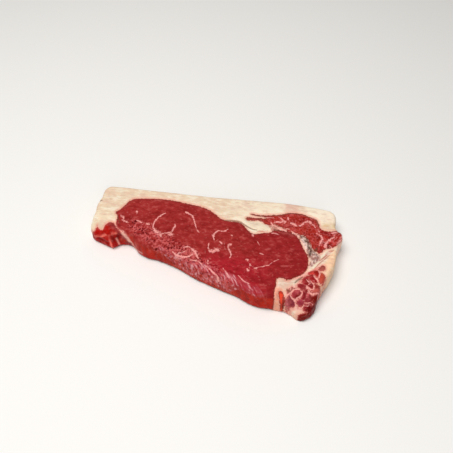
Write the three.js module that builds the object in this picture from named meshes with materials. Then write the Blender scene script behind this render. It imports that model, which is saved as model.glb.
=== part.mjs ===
// Raw sirloin steak: one slice across the striploin, lying flat on its lower cut face.
// It is one solid. A straight cap of fat runs along the back, the large eye muscle fills the middle,
// a flat cap muscle lies over its right end, the laced tail hangs down at the front right, and a
// small rib of muscle sticks out at the front left.
// Millimetres. +X runs along the fat cap, +Y points towards it, +Z is up. The origin is the middle of
// the footprint's bounding box, on the surface that the steak lies on.
import * as THREE from 'three';

// ---- Driving dimensions ----
const THICKNESS = 22; // cut face to cut face, at the eye
const TAIL_TIP_THICKNESS = 9; // the tail thins out towards its free end
const RIB_TIP_THICKNESS = 14; // and so does the small front rib
const CELLS_ALONG = 96; // grid cells of the upper cut face, left to right
const CELLS_ACROSS = 34; // and front to back

// The flank, from the upper cut face to the lower one. `down` is the share of the height already
// passed, `drop` adds millimetres to it, and `inset` is how far the ring lies inside the outline.
const FLANK = [
  { down: 0, drop: 0, inset: 3.2 },
  { down: 0, drop: 0.7, inset: 1.9 },
  { down: 0, drop: 2.3, inset: 0.9 },
  { down: 0.45, drop: 0, inset: 0.2 },
  { down: 0.78, drop: 0, inset: 0 },
  { down: 0.95, drop: 0, inset: 0.5 },
  { down: 1, drop: 0, inset: 1.7 },
];

// ---- Plan outline: four edges that meet at the middles of four rounded corners ----
const BACK_LEFT = [-101.8, 47.8];
const BACK_RIGHT = [102.4, 46.4];
const TAIL_TIP = [79.4, -50.6];
const RIB_TIP = [-106, 5.2];

const FRONT_EDGE = curve([RIB_TIP, [-104.2, 2.6], [-99.6, 0.2], [-93.4, -1.8], [-88, -3.8], [-84, -3.2],
  [-80, -0.6], [-74, 0.8], [-67.6, -0.8], [-60.4, -7.2], [-53, -10.4], [-44, -11.6], [-33, -14.6],
  [-21, -19.2], [-10, -24.6], [3, -29.2], [15, -33.2], [27, -36.8], [36, -41], [45, -43.8],
  [54, -44], [61.4, -44.6], [66.4, -44.4], [71.6, -46.6], [76, -49.6], TAIL_TIP]);
const RIGHT_EDGE = curve([TAIL_TIP, [83, -49.8], [86.6, -47], [89.8, -42], [92.6, -32.4], [97, -23],
  [101.4, -14], [104.4, -5], [105.2, 4], [107, 13.4], [109.8, 19.6], [109.4, 25.4], [105.6, 28.8],
  [103.8, 32], [104.2, 37], [104.2, 42.2], BACK_RIGHT]);
const FAT_EDGE = curve([BACK_RIGHT, [98.6, 49], [92, 50.2], [64, 52.4], [30, 52.2], [-12, 50.4],
  [-52, 50], [-84, 50.4], [-93, 50.2], [-98.4, 49.8], BACK_LEFT]);
const LEFT_EDGE = curve([BACK_LEFT, [-103.4, 44.4], [-103.8, 40], [-103.6, 35.4], [-104.6, 31],
  [-105.2, 25], [-104.4, 17], [-105.2, 12.4], [-106.2, 8.8], RIB_TIP]);

// ---- Seams: grooves between muscles and fat on the upper cut face ----
const EYE_SEAM = curve([[-84, 8], [-85.6, 18], [-80, 29], [-72, 37.6], [-60, 39.6], [-40, 40.2],
  [-20, 37.8], [-5, 34], [6, 27], [22, 25], [35, 15.6], [47, 17.2], [62, 19.4], [72, 14.4], [78, 5],
  [82, -7], [79, -17.6], [66, -28], [58, -31], [57.4, -38]]);
const CAP_UPPER_SEAM = curve([[29, 29], [38, 34.8], [48, 36.4], [66, 41], [80, 39], [88, 33],
  [93, 27], [106, 27]]);
const CAP_LOWER_SEAM = curve([[29, 29], [42, 26.6], [56, 25], [70, 20.6], [80, 15], [86, 6],
  [90, 1.4], [104, 10]]);
const TAIL_SEAM = curve([[98, 4.6], [90, -6], [84, -15.6], [72, -26], [64, -33], [60.6, -44]]);
const RIB_SEAM = curve([[-98, 1], [-96, 2.4], [-89, 8], [-84, 8.6], [-79, 2], [-71, -5], [-64, -9]]);
const GROOVES = [
  { points: EYE_SEAM.getSpacedPoints(120), depth: 0.8, width: 2.8 },
  { points: CAP_UPPER_SEAM.getSpacedPoints(60), depth: 0.7, width: 2.6 },
  { points: CAP_LOWER_SEAM.getSpacedPoints(60), depth: 1.2, width: 3.2 },
  { points: TAIL_SEAM.getSpacedPoints(40), depth: 1.2, width: 3.2 },
  { points: RIB_SEAM.getSpacedPoints(40), depth: 1.3, width: 3.0 },
];

// The tail and the rib get thinner past a slanted line, from `start` to `end` in the line's own
// millimetres, and only beyond a place along X.
const TAIL_THINNING = { slant: 0.25, origin: 75, start: -27, end: -52, xFrom: 57, xTo: 65 };
const RIB_THINNING = { across: -0.45, along: -0.9, corner: [-84, 8], start: 2, end: 13, xFrom: -77, xTo: -86 };

// Bundles of muscle stand out as lobes on the tail and as ridges on the rib.
const TAIL_LOBES = { spacing: 9, height: 1.1, corner: [84, -15], start: 2, end: 9, xFrom: 112, xTo: 96 };
const RIB_RIDGES = { spacing: 8.5, height: 1.1, start: 3, end: 9, xFrom: -80, xTo: -87 };

// The slow waviness of a soft slice that was cut by hand.
const BROAD_WAVE = { height: 0.4, along: 17, across: 13, shift: 0.6 };
const LONG_WAVE = { height: 0.25, along: 31, across: 19 };

// A smooth curve in plan through [x, y] points.
function curve(points) {
  return new THREE.CatmullRomCurve3(points.map(([x, y]) => new THREE.Vector3(x, y, 0)), false, 'centripetal');
}

function ramp(x, from, to) {
  const t = THREE.MathUtils.clamp((x - from) / (to - from), 0, 1);
  return t * t * (3 - 2 * t);
}

// ---- Height of the upper cut face ----
// How far a point has come towards the free end of the tail or of the rib, from 0 to 1.
function towardsTailTip(x, y) {
  const { slant, origin, start, end, xFrom, xTo } = TAIL_THINNING;
  return ramp(y - slant * (x - origin), start, end) * ramp(x, xFrom, xTo);
}
// How far a point lies past the corner where the rib begins, towards its free end.
function pastRibCorner(x, y) {
  const { across, along, corner } = RIB_THINNING;
  return across * (x - corner[0]) + along * (y - corner[1]);
}
function towardsRibTip(x, y) {
  const { start, end, xFrom, xTo } = RIB_THINNING;
  return ramp(pastRibCorner(x, y), start, end) * ramp(x, xFrom, xTo);
}

// Rounded bumps in two slanted directions on the tail, and ridges in one on the rib.
function lobes(x, y) {
  const turn = (2 * Math.PI) / TAIL_LOBES.spacing;
  const bumps = Math.sin(turn * (0.8 * x + 0.5 * y)) * Math.cos(turn * (0.7 * y - 0.5 * x));
  const ridges = Math.sin(((2 * Math.PI) / RIB_RIDGES.spacing) * (x + 0.35 * y));
  const pastTailCorner = 0.8 * (x - TAIL_LOBES.corner[0]) - 0.6 * (y - TAIL_LOBES.corner[1]);
  const onTail = ramp(pastTailCorner, TAIL_LOBES.start, TAIL_LOBES.end)
    * ramp(x, TAIL_LOBES.xFrom, TAIL_LOBES.xTo);
  const onRib = ramp(pastRibCorner(x, y), RIB_RIDGES.start, RIB_RIDGES.end)
    * ramp(x, RIB_RIDGES.xFrom, RIB_RIDGES.xTo);
  return TAIL_LOBES.height * onTail * bumps + RIB_RIDGES.height * onRib * ridges;
}

function grooveDepth(x, y) {
  let sum = 0;
  for (const { points, depth, width } of GROOVES) {
    const nearest = Math.min(...points.map((p) => Math.hypot(p.x - x, p.y - y)));
    sum += depth * Math.exp(-((nearest / width) ** 2));
  }
  return sum;
}

function waviness(x, y) {
  const broad = Math.sin(x / BROAD_WAVE.along + BROAD_WAVE.shift) * Math.cos(y / BROAD_WAVE.across);
  const long = Math.sin(x / LONG_WAVE.along - y / LONG_WAVE.across);
  return BROAD_WAVE.height * broad + LONG_WAVE.height * long;
}

function faceHeight(x, y) {
  const thinning = (THICKNESS - TAIL_TIP_THICKNESS) * towardsTailTip(x, y)
    + (THICKNESS - RIB_TIP_THICKNESS) * towardsRibTip(x, y);
  return THICKNESS - thinning - grooveDepth(x, y) + lobes(x, y) + waviness(x, y);
}

// ---- Rings: closed loops, counter-clockwise from the rib's tip ----
const EDGES = [[FRONT_EDGE, CELLS_ALONG], [RIGHT_EDGE, CELLS_ACROSS], [FAT_EDGE, CELLS_ALONG],
  [LEFT_EDGE, CELLS_ACROSS]];
const outline = EDGES.flatMap(([edge, cells]) => edge.getSpacedPoints(cells).slice(0, cells));
const count = outline.length;

// The inward direction is taken over a few points, so that rings don't cross in a narrow notch.
const NORMAL_REACH = 2;
const inward = outline.map((_, i) => {
  const ahead = outline[(i + NORMAL_REACH) % count];
  const behind = outline[(i + count - NORMAL_REACH) % count];
  return new THREE.Vector3(behind.y - ahead.y, ahead.x - behind.x, 0).normalize();
});

// The outline moved inwards, with its points spread evenly again along each of the four edges.
function ring(inset) {
  let first = 0;
  return EDGES.flatMap(([, cells]) => {
    const moved = Array.from({ length: cells + 1 }, (_, k) => {
      const i = (first + k) % count;
      return outline[i].clone().addScaledVector(inward[i], inset);
    });
    first += cells;
    return new THREE.CatmullRomCurve3(moved, false, 'centripetal').getSpacedPoints(cells).slice(0, cells);
  });
}

// ---- Upper cut face: a grid stretched between the four edges of the innermost ring ----
const rim = ring(FLANK[0].inset);
const backRightIndex = CELLS_ALONG + CELLS_ACROSS;
const front = (i) => rim[i];
const right = (j) => rim[CELLS_ALONG + j];
const back = (i) => rim[backRightIndex + CELLS_ALONG - i];
const left = (j) => rim[(count - j) % count];

function facePoint(i, j) {
  const u = i / CELLS_ALONG;
  const v = j / CELLS_ACROSS;
  const point = new THREE.Vector3()
    .addScaledVector(front(i), 1 - v).addScaledVector(back(i), v)
    .addScaledVector(left(j), 1 - u).addScaledVector(right(j), u)
    .addScaledVector(front(0), (u - 1) * (1 - v)).addScaledVector(front(CELLS_ALONG), -u * (1 - v))
    .addScaledVector(back(0), (u - 1) * v).addScaledVector(back(CELLS_ALONG), -u * v);
  point.z = faceHeight(point.x, point.y);
  return point;
}

// ---- Mesh ----
const vertices = [];
const triangles = [];
const addVertex = (p) => vertices.push(p) - 1;
const addQuad = (a, b, c, d) => triangles.push(a, b, c, a, c, d);

const grid = Array.from({ length: CELLS_ACROSS + 1 }, (_, j) => (
  Array.from({ length: CELLS_ALONG + 1 }, (_, i) => addVertex(facePoint(i, j)))));
for (let j = 0; j < CELLS_ACROSS; j += 1) {
  for (let i = 0; i < CELLS_ALONG; i += 1) {
    addQuad(grid[j][i], grid[j][i + 1], grid[j + 1][i + 1], grid[j + 1][i]);
  }
}

// The flank goes down ring by ring from the border of the grid.
let above = [
  ...grid[0].slice(0, -1),
  ...grid.map((row) => row.at(-1)).slice(0, -1),
  ...grid.at(-1).slice(1).reverse(),
  ...grid.map((row) => row[0]).slice(1).reverse(),
];
for (const { down, drop, inset } of FLANK.slice(1)) {
  const below = ring(inset).map((point) => {
    point.z = (faceHeight(point.x, point.y) - drop) * (1 - down);
    return addVertex(point);
  });
  below.forEach((_, i) => {
    const next = (i + 1) % count;
    addQuad(above[i], below[i], below[next], above[next]);
  });
  above = below;
}

// The lower cut face is flat: it rests on the table.
const footprint = above.map((index) => new THREE.Vector2(vertices[index].x, vertices[index].y));
for (const [a, b, c] of THREE.ShapeUtils.triangulateShape(footprint, [])) {
  triangles.push(above[a], above[c], above[b]);
}

const geometry = new THREE.BufferGeometry().setFromPoints(vertices);
geometry.setIndex(triangles);
geometry.computeBoundingBox();
const middle = geometry.boundingBox.getCenter(new THREE.Vector3());
geometry.translate(-middle.x, -middle.y, 0);
geometry.computeVertexNormals();

// Fresh beef: deep red, moist, not metallic.
const beef = new THREE.MeshStandardMaterial({ color: 0x9c3231, roughness: 0.45, metalness: 0 });
const steak = new THREE.Mesh(geometry, beef);
steak.name = 'steak';

const part = new THREE.Group();
part.name = 'raw_sirloin_steak';
part.add(steak);
export default part;
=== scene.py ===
# %% [markdown]
# # A raw sirloin steak
# One slice across the loin of a beef animal, lying flat. A reader who is learning Blender builds it
# here in five steps: a map of which tissue is where, the slice's relief, the slice as one closed
# mesh, one material that reads the map, and a plain studio. Plan shapes are in millimetres, because
# that is how a butcher measures a steak, and turn into metres only when the mesh is made.

import bpy
import numpy as np
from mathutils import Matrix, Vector, noise


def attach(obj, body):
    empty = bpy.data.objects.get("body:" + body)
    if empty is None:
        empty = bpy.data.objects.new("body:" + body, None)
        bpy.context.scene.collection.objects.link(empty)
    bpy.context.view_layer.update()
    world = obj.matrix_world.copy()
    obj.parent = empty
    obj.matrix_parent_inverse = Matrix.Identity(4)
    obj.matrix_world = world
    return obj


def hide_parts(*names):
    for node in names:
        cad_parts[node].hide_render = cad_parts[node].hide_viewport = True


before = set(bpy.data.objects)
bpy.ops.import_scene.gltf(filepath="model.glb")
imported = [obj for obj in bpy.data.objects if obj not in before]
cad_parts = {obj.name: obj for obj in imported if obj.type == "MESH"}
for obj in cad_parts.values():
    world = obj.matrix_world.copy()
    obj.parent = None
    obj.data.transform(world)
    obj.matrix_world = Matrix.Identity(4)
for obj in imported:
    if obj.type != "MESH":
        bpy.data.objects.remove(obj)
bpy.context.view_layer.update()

# %% [markdown]
# ## The plan of the slice
# The outline is four edges that meet in four rounded corners: the cut front, the thin right side,
# the straight back of fat and the short left side. Each could be a Bezier curve object, but the mesh
# needs points at exact spacings, so a small function draws a smooth curve through a few corner points
# and hands back as many evenly spread points as asked.

# %% A smooth line through a few points
CURVE_STEPS = 24


def even_points(line, count):
    """`count` + 1 points, evenly spread along a line of points."""
    reach = np.r_[0, np.cumsum(np.linalg.norm(np.diff(line, axis=0), axis=1))]
    stops = np.linspace(0, reach[-1], count + 1)
    return np.column_stack([np.interp(stops, reach, column) for column in line.T])


def smooth_line(corners, count, closed=False):
    """`count` + 1 points, evenly spread along a smooth curve through the corners."""
    corners = np.array(corners, float)
    if closed:
        hull = np.vstack([corners[-1:], corners, corners[:2]])
    else:
        hull = np.vstack([2 * corners[0] - corners[1], corners, 2 * corners[-1] - corners[-2]])
    gap = np.sqrt(np.linalg.norm(np.diff(hull, axis=0), axis=1))[:, None]
    slope = np.diff(hull, axis=0) / gap
    across = (hull[2:] - hull[:-2]) / (gap[1:] + gap[:-1])
    heading = slope[:-1] - across + slope[1:]
    start, end, step = hull[1:-2], hull[2:-1], gap[1:-1]
    leave, arrive = heading[:-1] * step, heading[1:] * step
    t = np.linspace(0, 1, CURVE_STEPS, endpoint=False)[:, None, None]
    bend = 2 * start - 2 * end + leave + arrive
    swing = 3 * end - 3 * start - 2 * leave - arrive
    drawn = start + leave * t + swing * t**2 + bend * t**3
    drawn = drawn.transpose(1, 0, 2).reshape(-1, corners.shape[1])
    return even_points(np.vstack([drawn, end[-1:]]), count)


arch = smooth_line([(0, 0), (10, 5), (20, 0)], 4)
print("five points on a curve through three:", arch.round(1).tolist())

# %% The four edges
# In mm: X runs along the slice, and Y from its front to its back.
BACK_LEFT = (-101.8, 47.8)
BACK_RIGHT = (102.4, 46.4)
TAIL_TIP = (79.4, -50.6)
RIB_TIP = (-106, 5.2)
FRONT_EDGE = [
    RIB_TIP, (-104.2, 2.6), (-99.6, 0.2), (-93.4, -1.8), (-88, -3.8), (-84, -3.2), (-80, -0.6),
    (-74, 0.8), (-67.6, -0.8), (-60.4, -7.2), (-53, -10.4), (-44, -11.6), (-33, -14.6),
    (-21, -19.2), (-10, -24.6), (3, -29.2), (15, -33.2), (27, -36.8), (36, -41), (45, -43.8),
    (54, -44), (61.4, -44.6), (66.4, -44.4), (71.6, -46.6), (76, -49.6), TAIL_TIP,
]
RIGHT_EDGE = [
    TAIL_TIP, (83, -49.8), (86.6, -47), (89.8, -42), (92.6, -32.4), (97, -23), (101.4, -14),
    (104.4, -5), (105.2, 4), (107, 13.4), (109.8, 19.6), (109.4, 25.4), (105.6, 28.8), (103.8, 32),
    (104.2, 37), (104.2, 42.2), BACK_RIGHT,
]
FAT_EDGE = [
    BACK_RIGHT, (98.6, 49), (92, 50.2), (64, 52.4), (30, 52.2), (-12, 50.4), (-52, 50), (-84, 50.4),
    (-93, 50.2), (-98.4, 49.8), BACK_LEFT,
]
LEFT_EDGE = [
    BACK_LEFT, (-103.4, 44.4), (-103.8, 40), (-103.6, 35.4), (-104.6, 31), (-105.2, 25),
    (-104.4, 17), (-105.2, 12.4), (-106.2, 8.8), RIB_TIP,
]
EDGES = [FRONT_EDGE, RIGHT_EDGE, FAT_EDGE, LEFT_EDGE]
print("corner points of the outline:", sum(len(edge) - 1 for edge in EDGES))

# %% The outline, and rings inside it
# Counts of cells along each edge: the coarse ones set the outward directions, which must not cross
# in a narrow notch, and the fine ones make the mesh. A direction is taken between two neighbours a
# few points away.
COARSE_CELLS = [96, 34, 96, 34]
FINE_CELLS = [340, 150, 340, 150]
COARSE_REACH = 2
FINE_REACH = 8


def outward_from(loop, reach):
    """The outward direction at each point of a loop, across its neighbours `reach` points away."""
    run = np.roll(loop, -reach, axis=0) - np.roll(loop, reach, axis=0)
    side = np.column_stack([run[:, 1], -run[:, 0]])
    return side / np.linalg.norm(side, axis=1)[:, None]


outline = np.vstack([smooth_line(e, n)[:-1] for e, n in zip(EDGES, COARSE_CELLS)])
outward = outward_from(outline, COARSE_REACH)
print("outline in mm:", np.ptp(outline, axis=0).round(1))


def ring(inset, cells):
    """The outline moved inwards by `inset` mm, with its points spread evenly along each edge."""
    moved = outline - inset * outward
    moved = np.vstack([moved, moved[:1]])
    first = 0
    parts = []
    for coarse, fine in zip(COARSE_CELLS, cells):
        parts.append(smooth_line(moved[first:first + coarse + 1], fine)[:-1])
        first += coarse
    return np.vstack(parts)


# %% [markdown]
# ## Which tissue is where
# The cut shows four muscles in a bed of fat: the large eye, the flat cap over its right end, the
# torn rib at the front left and the laced tail at the front right, with a web of silverskin between.
# A painted picture would do, but it would blur up close. Instead each tissue is a closed curve, and
# every point of the mesh learns how many millimetres it lies inside it. The material turns that
# distance into an edge as crisp as it likes.

# %% Outline of the eye
EYE = [
    (-83, 9), (-83, 16), (-86, 20), (-83, 24), (-80, 29), (-77.5, 34), (-74, 37), (-64, 39),
    (-55, 40), (-38, 40), (-26, 38.5), (-14, 37), (-7, 35), (1, 30), (5, 27), (10, 25.2),
    (16.8, 25.2), (22, 24.6), (26, 21.6), (29.6, 17.4), (32.7, 14.6), (36.1, 14), (40.2, 15.5),
    (44.3, 16.7), (48.2, 17.4), (50.8, 19.4), (53.6, 21.3), (57, 21.4), (61, 20.8), (65.1, 20.4),
    (68.5, 18.9), (71.1, 17), (73.3, 14.4), (75.2, 10), (78, 4), (81, -1), (82, -6), (82, -12),
    (81, -15), (78, -19), (71, -24), (66, -27), (62, -25.6), (58, -27.5), (58, -31), (57.8, -34),
    (57, -38), (57.4, -42), (58.4, -46), (58.4, -64), (-60, -64), (-71, -20), (-73.4, -4),
    (-73.4, 1.5), (-77.2, 2.6), (-80.8, 5.2), (-82.6, 8.8),
]
print("corner points of the eye:", len(EYE))

# %% Outlines of the cap and the rib
CAP = [
    (26.6, 30), (28, 31.4), (31, 31.9), (35, 31.9), (39, 31.6), (43.5, 31.7), (42.6, 32.9),
    (38.3, 33.4), (33.9, 33.6), (30, 34.6), (31, 35.6), (34, 35.4), (38.1, 35.2), (42.4, 35.5),
    (48, 36.4), (56, 38), (64, 41), (74, 41), (80, 39), (86, 37), (89, 32), (90, 28), (93, 26),
    (99, 26), (103, 27), (108, 28.6), (120, 29), (120, 17), (110, 17), (104, 12), (100, 9), (95, 7),
    (92, 3), (90, 2), (88, 4), (85, 6), (82.4, 11), (80, 15.4), (77, 18), (73.8, 18.8),
    (70.4, 19.8), (67.2, 20.9), (65.6, 19.9), (63, 20), (61.9, 22.2), (59, 24), (54.6, 25.6),
    (51.8, 26.8), (47.8, 25.8), (44.4, 26), (40.8, 28.2), (38, 29.2), (34.5, 28.9), (30.2, 29),
    (27.4, 29.2),
]
RIB = [
    (-122, 3), (-108, 4), (-103, 2.6), (-101, 3), (-100, 5.4), (-99, 6.6), (-97.6, 4.6), (-95.4, 4),
    (-92.8, 3.8), (-92.4, 5.8), (-89.8, 7.8), (-87, 9.6), (-84, 8.8), (-81.2, 5), (-77.6, 2),
    (-74.8, 0.4), (-74.4, -4), (-74.6, -14), (-78, -30), (-125, -30),
]
print("corner points of cap and rib:", len(CAP), len(RIB))

# %% Bundles of the tail: the upper row, under the strip of fat
# One closed curve for each, with the colour of its lean.
UPPER_ROW = [
    ("#AC584B", [(90.6, -13.4), (92, -11.8), (93.8, -10), (94.8, -11), (94.4, -13.2), (91.7, -14.2)]),
    ("#D8443E", [(82.9, -17.8), (85.2, -16.1), (87.1, -15.7), (87.1, -18.6), (85.2, -19.7)]),
    ("#A8241E", [(87.2, -15.9), (89.2, -15.3), (90.2, -17.2), (89.8, -20.6), (88.5, -20.3)]),
    ("#A4222A", [(78.3, -26.4), (79.6, -23.1), (82.2, -21.2), (83, -22.7), (80.9, -24.5), (82.5, -28.2),
                 (81.7, -29.2), (79.4, -28.5)]),
    ("#9E1C20", [(83.3, -21), (85.7, -20.1), (86.5, -22), (88.1, -23.9), (89.2, -25.9), (87.8, -26.7),
                 (86.1, -25.4), (84, -24.3)]),
    ("#84080E", [(80.1, -25.7), (81.3, -26.7), (82.8, -28), (82.1, -28.8), (80.6, -27.8)]),
    ("#860C10", [(81.8, -24.3), (83.6, -25.5), (85.1, -26.9), (86.3, -28.7), (86.1, -30.4), (84.5, -30.3),
                 (83, -29.5), (84.2, -28.6)]),
    ("#C04A38", [(91.4, -22.5), (91.8, -19.3), (93, -17.4), (94.6, -18.9), (95.2, -21.2), (94.5, -23.3),
                 (92.9, -25.9), (91.8, -25)]),
    ("#963028", [(88.2, -27.6), (89.7, -28.1), (91.6, -28.8), (91.4, -30.1), (89.6, -31), (88.7, -29.7)]),
    ("#C45A50", [(85.1, -32.3), (88.4, -31.4), (92, -30.5), (91.9, -31.4), (87.8, -33)]),
]
print("bundles in the upper row:", len(UPPER_ROW))

# %% Bundles of the tail: the small ones in the middle, and the lower ones, paler and greyer
MIDDLE_BUNDLES = [
    ("#8E2428", [(74.9, -31.1), (76, -29.9), (78.3, -29.6), (80.5, -30.3), (80.5, -32.4), (78.2, -32.8)]),
    ("#AC3A44", [(71.5, -37.5), (71.8, -35.8), (73.7, -34.5), (76.4, -34.1), (77.8, -35.4), (76.3, -37.5),
                 (74.7, -39.3), (73.2, -39.6)]),
    ("#7E0C16", [(77.6, -35.9), (77, -37.2), (75.1, -38.8), (74.1, -39.6), (74.7, -38.3), (76.5, -36.7)]),
    ("#8C2026", [(79.6, -33.7), (82.2, -32.6), (82.7, -34.2), (81.7, -35.4), (81.7, -37.4), (80.3, -39.5),
                 (78.9, -38.7), (79.7, -36.6)]),
    ("#C2545A", [(82.8, -35.2), (84.5, -34.9), (85.8, -36.2), (85.5, -37.2), (83.7, -37.1)]),
    ("#962C36", [(81.7, -38.5), (83.8, -37.6), (85.8, -37.9), (86, -39.2), (83.7, -39.9), (82, -39.9)]),
    ("#9A3438", [(81.6, -41.4), (83.7, -41.2), (86.2, -40.7), (86.1, -41.6), (83.7, -42.2)]),
]
LOWER_BUNDLES = [
    ("#BE6468", [(66.4, -41.8), (67.7, -41), (68.7, -42.2), (69.6, -43.7), (70.8, -44.9), (67.6, -44)]),
    ("#83303A", [(68.5, -40.1), (69.2, -38.7), (70.6, -40.2), (72.5, -41), (73.5, -42.3), (73.7, -44),
                 (71.3, -44.5), (69.7, -43.2)]),
    ("#A63C4A", [(75.7, -41.5), (76.7, -40.2), (79, -39.6), (80.8, -40.5), (80.4, -42), (78.3, -43.1)]),
]
print("bundles in the middle and below it:", len(MIDDLE_BUNDLES + LOWER_BUNDLES))

# %% Bundles of the tail: the dark ones on the free end, one with painted shade, and what lies beside the eye
# The third runs past the outline onto the flank at the right of the free end, where its dark red is partly
# lean and partly painted shade.
END_BUNDLES_AND_SHADE = [
    ("#82161C", [(81.9, -43.4), (84.4, -42.7), (90, -42.3), (93, -43.5), (88, -46), (85.8, -45.6),
                 (83, -46), (81.7, -45)]),
    ("#78160F", [(78.1, -50), (80.5, -48.9), (83.5, -47.6), (86.7, -45.8), (94, -46), (92, -56),
                 (80, -60), (77, -54)]),
    ("#74140E", [(84.8, -35.6), (87.4, -36.2), (89.7, -34.6), (92, -33.4), (97, -34), (99, -38),
                 (93, -43), (88.9, -42.1), (86.4, -39.4), (86.2, -37.4)]),
    ("#62060A", [(84.7, -42.8), (85.4, -42.3), (88.7, -42.2), (87.4, -43.4), (85.6, -43.5)]),
    ("#62060A", [(83.7, -45.4), (85.1, -44.9), (86.3, -45.5), (85.6, -46.3)]),
]
# Two brownish specks, and the red strip beside the eye with its dark edge.
BESIDE_EYE = [
    ("#A8685A", [(67.2, -35.8), (68.7, -34.9), (69.9, -35.5), (68.9, -36.9)]),
    ("#A8685A", [(70.3, -33.3), (71.9, -33.4), (71.6, -34.3), (70.3, -34.2)]),
    ("#F04C34", [(61.2, -38.1), (62.2, -37.1), (63.8, -38), (64.7, -40.8), (64.8, -43.2), (64, -44.3),
                 (63, -43.4), (62, -41.2)]),
    ("#8D2617", [(64.9, -40.4), (65.9, -40.6), (65.9, -42.6), (65.1, -43.8), (64.7, -42.4)]),
]
TAIL = UPPER_ROW + MIDDLE_BUNDLES + LOWER_BUNDLES + END_BUNDLES_AND_SHADE + BESIDE_EYE
print("bundles in the tail:", len(TAIL))

# %% The beds that the muscles lie in
# The laced bed of the tail, the silverskin, and the flecked band that runs to it from the tip of
# the wedge of fat.
LACED = [
    (95.6, -7.4), (92, -9.6), (86, -13.6), (80.4, -18.6), (76.6, -22.6), (75.4, -26), (73.2, -29.6),
    (69.6, -31.6), (66.4, -35), (66, -39), (66.4, -45), (66, -52), (70, -60), (100, -60), (98, -36),
    (95.4, -30), (96.6, -24), (97, -17), (96.4, -11),
]
SILVERSKIN = [
    (69.5, 19.8), (73.4, 20), (78, 18.2), (81.4, 15), (83.8, 9.5), (84.8, 5), (87.7, 2.4),
    (91.5, 0), (91.2, -3.4), (88.1, -7.3), (85.1, -11.2), (83.2, -13), (82.9, -9), (83.6, -6),
    (82, -3), (79.8, 3.3), (77, 10), (73.1, 15.7),
]
FLECKED = [
    (46, 24.6), (48, 26.2), (52, 27.2), (55, 26), (59.2, 24.4), (65.2, 22.4), (70.6, 20.2),
    (74, 19), (73, 14.8), (69.5, 17.4), (65.1, 19.8), (60.8, 20.6), (56.7, 19.8), (52.5, 18.8),
    (49.6, 19.6), (48, 22),
]
print("corner points of the beds:", len(LACED + SILVERSKIN + FLECKED))

# %% Where the eye is speckled, and where a thin skin with painted sheen clings to its front
SPECKLED = [
    (-74, 10), (-70, 14), (-62, 14), (-54, 10), (-46, 4.5), (-37, 2.5), (-27, -1.5), (-14, -8),
    (-2, -15), (12, -24), (24, -34), (18, -50), (-30, -40), (-38, -17), (-47, -11), (-56, -6),
    (-64, -1), (-71, 5),
]
VEILED_AND_SHEEN_AREA = [
    (-42, -8), (-30, -11), (-19, -15), (-8, -17), (2, -20), (13, -24), (22, -26), (30, -28),
    (38, -33), (48, -37), (54, -62), (-40, -62),
]
print("corner points of the two areas:", len(SPECKLED + VEILED_AND_SHEEN_AREA))

# %% [markdown]
# ### Marbling, lace and creases
# Marbling is fat that runs between the bundles of the muscle. On the cut it shows as thin pale
# lines that swell and fade. A noise could draw such lines, but anywhere, and real veins follow the
# grain of their muscle. So each one is a short curve with its half width in millimetres, and so are
# the pale threads of connective tissue and the creases, whose dark colour is painted shade.

# %% Veins in the left half of the eye
LEFT_VEINS = [
    # the big arc on the left and the knots below it
    (0.65, [(-42.7, 24.5), (-46.8, 20.8), (-49.1, 16.5), (-50.3, 12.3), (-50.1, 9)]),
    (1.7, [(-49.2, 7.4), (-46.4, 4.6), (-44, 3.4), (-42, 1.7)]),
    (0.8, [(-42.4, 2.2), (-41, 0)]),
    (0.45, [(-41.4, 2.4), (-38.8, 4.1), (-35.7, 4.6)]),
    (1.6, [(-35, 4.9), (-32.7, 3)]),
    (0.75, [(-33.6, 6.6), (-32.3, 10.3), (-31.7, 12.6), (-32.3, 14.4)]),
    # the thin arc beside it
    (0.8, [(-25.6, 28.2), (-23.4, 27.4)]),
    (0.65, [(-23, 27), (-19.2, 24.9), (-16.6, 19.8), (-13.8, 13.5)]),
    (0.4, [(-13.8, 13.5), (-12.4, 10.6), (-10.3, 8.6)]),
    # nicks towards the left end
    (0.75, [(-67.8, 23.6), (-67.4, 21.8)]),
    (0.35, [(-67.2, 21.4), (-66.8, 19.6)]),
    (0.75, [(-65.4, 13.4), (-62.9, 12.6), (-60.5, 11.7)]),
    (0.95, [(-56.4, 11.4), (-54, 11)]),
    (0.8, [(-80.4, 17), (-77, 14)]),
    (0.8, [(-77.6, 11.8), (-74.5, 11.1), (-72, 10)]),
]
print("veins in the left half:", len(LEFT_VEINS))
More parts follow.
